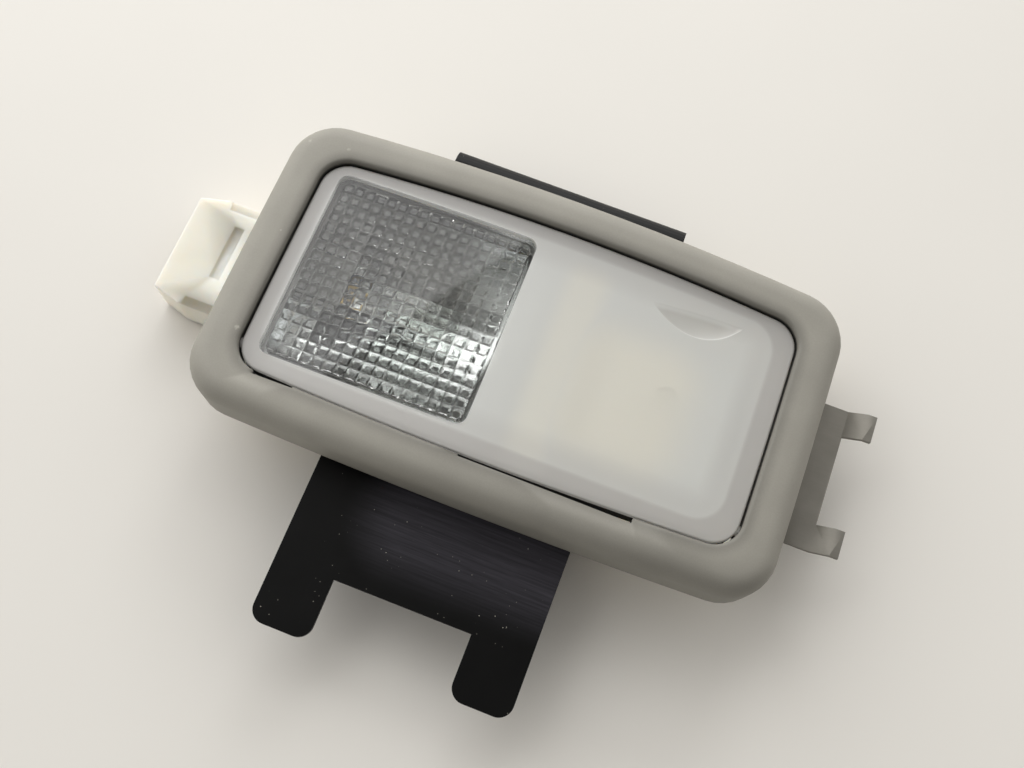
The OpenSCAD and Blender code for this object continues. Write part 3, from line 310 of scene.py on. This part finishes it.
def rolledMetal(name, colour, roughness, streakColour, along):
    # metal that was rolled or drawn: dull, with fine lines along the direction of rolling
    look = {"line": 0.35 * mm, "stretch": 0.02, "lineHeight": 0.03 * mm, "lineStrength": 0.12,
            "smoother": 0.07, "rougher": 0.1, "cloud": 5 * mm, "cloudSpan": (0.35, 0.75), "mostStreak": 0.6,
            "edge": 0.12 * mm}
    material, tree, shader, place = startMaterial(name)
    stretch = [look["stretch"] if axis == along else 1 for axis in "XYZ"]
    drawn = addNode(tree, "Mapping", {"Vector": place, "Scale": stretch})
    lines = addNode(tree, "TexNoise", {"Vector": drawn, "Scale": 1 / look["line"], "Detail": 3})
    cloud = addNode(tree, "TexNoise", {"Vector": place, "Scale": 1 / look["cloud"], "Detail": 4})
    share = addNode(tree, "MapRange", {"Value": cloud} | between(look["cloudSpan"], (0, look["mostStreak"])))
    levels = (roughness - look["smoother"], roughness + look["rougher"])
    rough = addNode(tree, "MapRange", {"Value": lines} | between((0, 1), levels))
    edge = addNode(tree, "Bevel", {"Radius": look["edge"]}, samples=4)
    bump = addNode(tree, "Bump", {"Height": lines, "Normal": edge, "Strength": look["lineStrength"],
                                  "Distance": look["lineHeight"]})
    setInputs(tree, shader, {"Base Color": layered(tree, colour, (share, streakColour)), "Metallic": 1,
                             "Roughness": rough, "Normal": bump})
    return material


def satinBlackPaint():
    # baked black enamel on sheet steel: satin, with a faint orange peel, pale dust and a painted sheen on the
    # broad face
    look = {"colour": "#050505", "sheenColour": "#45434a", "dust": "#b9b5aa", "refraction": 1.5, "shine": 0.2,
            "roughness": (0.3, 0.46), "edge": 0.15 * mm,
            "peel": 0.8 * mm, "peelHeight": 0.05 * mm, "peelStrength": 0.1,
            "dustPitch": 1.1 * mm, "dustSpan": (0.1, 0.06), "patch": 9 * mm, "patchSpan": (0.52, 0.62),
            "streak": 0.4 * mm, "stretch": (0.04, 1, 1),
            "streakSpan": (0.25, 0.75), "streakShade": (0.45, 1),
            "sheen": {"middle": (8, -38), "half": (24, 9), "bow": (0, 0), "corner": 8},
            "sheenEdge": (-6, 6, 1, 0)}
    material, tree, shader, place = startMaterial("satinBlackPaint")
    # dust lies as specks, in patches
    cells = addNode(tree, "TexVoronoi", {"Vector": place, "Scale": 1 / look["dustPitch"]})
    spot = addNode(tree, "MapRange", {"Value": cells} | between(look["dustSpan"], (0, 1)))
    patch = addNode(tree, "TexNoise", {"Vector": place, "Scale": 1 / look["patch"], "Detail": 5,
                                       "Roughness": 0.7})
    where = addNode(tree, "MapRange", {"Value": patch} | between(look["patchSpan"], (0, 1)))
    dust = combine(tree, "MULTIPLY", spot, where)
    # a painted sheen makes the broad face a little greyer, in fine lines along X
    drawn = addNode(tree, "Mapping", {"Vector": place, "Scale": look["stretch"]})
    lines = addNode(tree, "TexNoise", {"Vector": drawn, "Scale": 1 / look["streak"], "Detail": 3})
    streaks = addNode(tree, "MapRange", {"Value": lines} | between(look["streakSpan"], look["streakShade"]))
    face = mask(tree, (beyondOutline(tree, place, **look["sheen"]), *look["sheenEdge"]))
    sheen = combine(tree, "MULTIPLY", face, streaks)
    rough = addNode(tree, "MapRange", {"Value": patch} | between((0, 1), look["roughness"]))
    peel = addNode(tree, "TexNoise", {"Vector": place, "Scale": 1 / look["peel"], "Detail": 1})
    edge = addNode(tree, "Bevel", {"Radius": look["edge"]}, samples=4)
    bump = addNode(tree, "Bump", {"Height": peel, "Normal": edge, "Strength": look["peelStrength"],
                                  "Distance": look["peelHeight"]})
    paint = layered(tree, look["colour"], (sheen, look["sheenColour"]), (dust, look["dust"]))
    setInputs(tree, shader, {"Base Color": paint, "Roughness": rough, "IOR": look["refraction"],
                             "Specular IOR Level": look["shine"], "Normal": bump})
    return material


def whiteTable():
    # laminate table top: pale and even, with a faint cloudiness
    look = {"colour": "#eae7e1", "cloudColour": "#f0ede7", "roughness": 0.7, "cloud": 83.3 * mm}
    material, tree, shader, place = startMaterial("whiteTable")
    cloud = addNode(tree, "TexNoise", {"Vector": place, "Scale": 1 / look["cloud"], "Detail": 2})
    setInputs(tree, shader, {"Base Color": layered(tree, look["colour"], (cloud, look["cloudColour"])),
                             "Roughness": look["roughness"]})
    return material


polypropylene = mouldedPolypropylene()
polycarbonate = mouldedPolycarbonate()
creamNylon = naturalNylon("naturalNylon", "#f1ebdd")
whiteAcetal = naturalNylon("whiteAcetal", "#f3f1ea")
socketNylon = filledNylon("socketNylon", "#4c4a46")
switchNylon = filledNylon("switchNylon", "#8d8a84")
mirror = metallisedPlastic()
glass = blownGlass()
brass = rolledMetal("rolledBrass", "#bda36d", 0.36, "#a08655", "X")
springSteel = rolledMetal("drawnSteel", "#b9b9b8", 0.32, "#9d9c9a", "Z")
clipSteel = rolledMetal("rolledSteel", "#8b8881", 0.5, "#7a7770", "X")
screwSteel = rolledMetal("platedSteel", "#c4c4c2", 0.33, "#a5a4a0", "Z")
tungsten = rolledMetal("tungstenWire", "#a8a39c", 0.35, "#8f8a84", "X")
blackPaint = satinBlackPaint()
print("materials made")


# pieces

def smoothCrown(mesh):
    # the crowned faces of the lens get the normals of the true curve, not those of their long triangles;
    # a face is crowned if the cosine between the two is above this
    steepest = 0.9945
    bend = 2 * crown["rise"] / crown["half"] ** 2
    normals = [corner.vector.copy() for corner in mesh.corner_normals]
    for face in mesh.polygons:
        true = Vector((bend * face.center.x, 0, 1)).normalized()
        if abs(face.normal.dot(true)) < steepest:
            continue
        side = 1 if face.normal.z > 0 else -1
        for corner in face.loop_indices:
            x = mesh.vertices[mesh.loops[corner].vertex_index].co.x
            normals[corner] = side * Vector((bend * x, 0, 1)).normalized()
    mesh.normals_split_custom_set(normals)


def smoothCopy(nodeName, pieceName, body, slot, material, crease):
    # the node's loose triangles merged into one skin and shaded smooth, up to the crease angle in degrees
    weld = 0.0005 * mm
    mesh = nodes[nodeName].data.copy()
    mesh.name = pieceName
    skin = bmesh.new()
    skin.from_mesh(mesh)
    bmesh.ops.remove_doubles(skin, verts=skin.verts, dist=weld)
    skin.to_mesh(mesh)
    skin.free()
    mesh.materials.clear()
    mesh.materials.append(material)
    mesh.shade_smooth()
    mesh.set_sharp_from_angle(angle=math.radians(crease))
    if nodeName == "lens":
        smoothCrown(mesh)
    piece = bpy.data.objects.new(pieceName, mesh)
    bpy.context.collection.objects.link(piece)
    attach(piece, body)
    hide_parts(nodeName)


# each node with the piece that stands for it, its body, its slot, its material and its crease angle
dressed = {
    "bezel": ("bezelFrame", "lamp", "bezel_plastic", polypropylene, 35),
    "lens": ("tippingLens", "lens", "lens_plastic", polycarbonate, 16),
    "housing": ("rearHousing", "lamp", "housing_plastic", creamNylon, 30),
    "reflector": ("bowlReflector", "lamp", "reflector_metal", mirror, 24),
    "bulb_glass": ("wedgeBulb", "lamp", "bulb_glass", glass, 40),
    "bulb_filament": ("bulbLeads", "lamp", "filament_wire", tungsten, 40),
    "bulb_socket": ("wedgeSocket", "lamp", "socket_plastic", socketNylon, 30),
    "terminal_battery": ("batteryTerminal", "lamp", "contact_brass", brass, 30),
    "terminal_ground": ("groundTerminal", "lamp", "contact_brass", brass, 30),
    "terminal_door": ("doorTerminal", "lamp", "contact_brass", brass, 30),
    "bulb_contact_bar": ("bulbContactBar", "lamp", "contact_brass", brass, 30),
    "switch_body": ("switchBody", "lamp", "switch_plastic", switchNylon, 30),
    "switch_lid": ("switchLid", "lamp", "housing_plastic", creamNylon, 30),
    "switch_plunger": ("switchPlunger", "plunger", "plunger_plastic", whiteAcetal, 30),
    "switch_bridge": ("switchBridge", "plunger", "contact_brass", brass, 30),
    "mounting_bracket": ("mountingBracket", "lamp", "bracket_paint", blackPaint, 25),
    "bracket_screws": ("bracketScrews", "lamp", "screw_steel", screwSteel, 30),
    "spring_clip": ("springClip", "lamp", "clip_steel", clipSteel, 25),
    "clip_rivets": ("clipRivets", "lamp", "screw_steel", screwSteel, 30),
    "bezel_screws": ("bezelScrews", "lamp", "screw_steel", screwSteel, 30),
}
for nodeName, row in dressed.items():
    smoothCopy(nodeName, *row)

# the spring shortens with the plunger, so its own node takes the steel
spring = nodes["switch_spring"].data
spring.materials.clear()
spring.materials.append(springSteel)
print("pieces:", len(dressed))


# table, light and camera

table = {"reach": 1.2}
bpy.ops.mesh.primitive_plane_add(size=2 * table["reach"], location=(0, 0, 0))
floor = bpy.context.object
floor.name = "tableTop"
floor.data.materials.append(whiteTable())

# places in metres, power in watts, and each spread as the cosines at which its shading starts and is full
light = {"bright": "#fffdf9", "dim": "#696765", "strength": 1.04,
         "from": (-0.6, 0.76, 0.1), "spread": (-0.85, 0.3),
         "overhead": (0, -0.02, 1), "overheadSpread": (0.8, 0.9), "overheadShade": 0.25,
         "target": (0, 0, 0.01),
         "softPlace": (-0.42, 0.4, 0.45), "softSize": 0.8, "softPower": 3,
         "stripPlace": (-0.05, 0.8, 0.5), "stripSize": 0.3, "stripPower": 1.3}
world = bpy.data.worlds.new("paleRoom")
bpy.context.scene.world = world
world.use_nodes = True
roomTree = world.node_tree


def facing(direction, spread):
    # share of a direction in the room's shading, from 0 at the low cosine to 1 at the high one
    way = addNode(roomTree, "TexCoord").outputs["Generated"]
    product = addNode(roomTree, "VectorMath", {0: way, 1: direction}, operation="DOT_PRODUCT")
    ends = between(spread, (0, 1))
    return addNode(roomTree, "MapRange", {"Value": product.outputs["Value"]} | ends,
                   interpolation_type="SMOOTHSTEP")


# a bright side with the windows, a dim side, and the dim spot overhead where the photographer leans in
sides = layered(roomTree, light["dim"], (facing(light["from"], light["spread"]), light["bright"]))
shade = addNode(roomTree, "MapRange", {"Value": facing(light["overhead"], light["overheadSpread"]),
                                       "To Min": 1, "To Max": light["overheadShade"]})
tone = addNode(roomTree, "VectorMath", {0: sides, "Scale": shade}, operation="SCALE")
setInputs(roomTree, roomTree.nodes["Background"], {"Color": tone, "Strength": light["strength"]})


def softLamp(name, place, size, power):
    data = bpy.data.lights.new(name, "AREA")
    data.shape = "SQUARE"
    data.size = size
    data.energy = power
    lamp = bpy.data.objects.new(name, data)
    lamp.location = place
    aim = Vector(light["target"]) - Vector(place)
    lamp.rotation_euler = aim.to_track_quat("-Z", "Y").to_euler()
    bpy.context.collection.objects.link(lamp)


softLamp("softBox", light["softPlace"], light["softSize"], light["softPower"])
softLamp("backStrip", light["stripPlace"], light["stripSize"], light["stripPower"])

# the camera that matches the photo: its place in millimetres and its turn in degrees
view = {"place": (16.69, -70.61, 218.72), "turn": (18.165, -2.306, 20.906), "lens": 37.22, "sensor": 36,
        "nearest": 10 * mm}
cameraData = bpy.data.cameras.new("camera")
cameraData.lens = view["lens"]
cameraData.sensor_width = view["sensor"]
cameraData.clip_start = view["nearest"]
camera = bpy.data.objects.new("camera", cameraData)
camera.location = [c * mm for c in view["place"]]
camera.rotation_euler = Euler([math.radians(a) for a in view["turn"]])
bpy.context.collection.objects.link(camera)
bpy.context.scene.camera = camera
bpy.context.scene.view_settings.view_transform = "Standard"
print("table, light and camera")
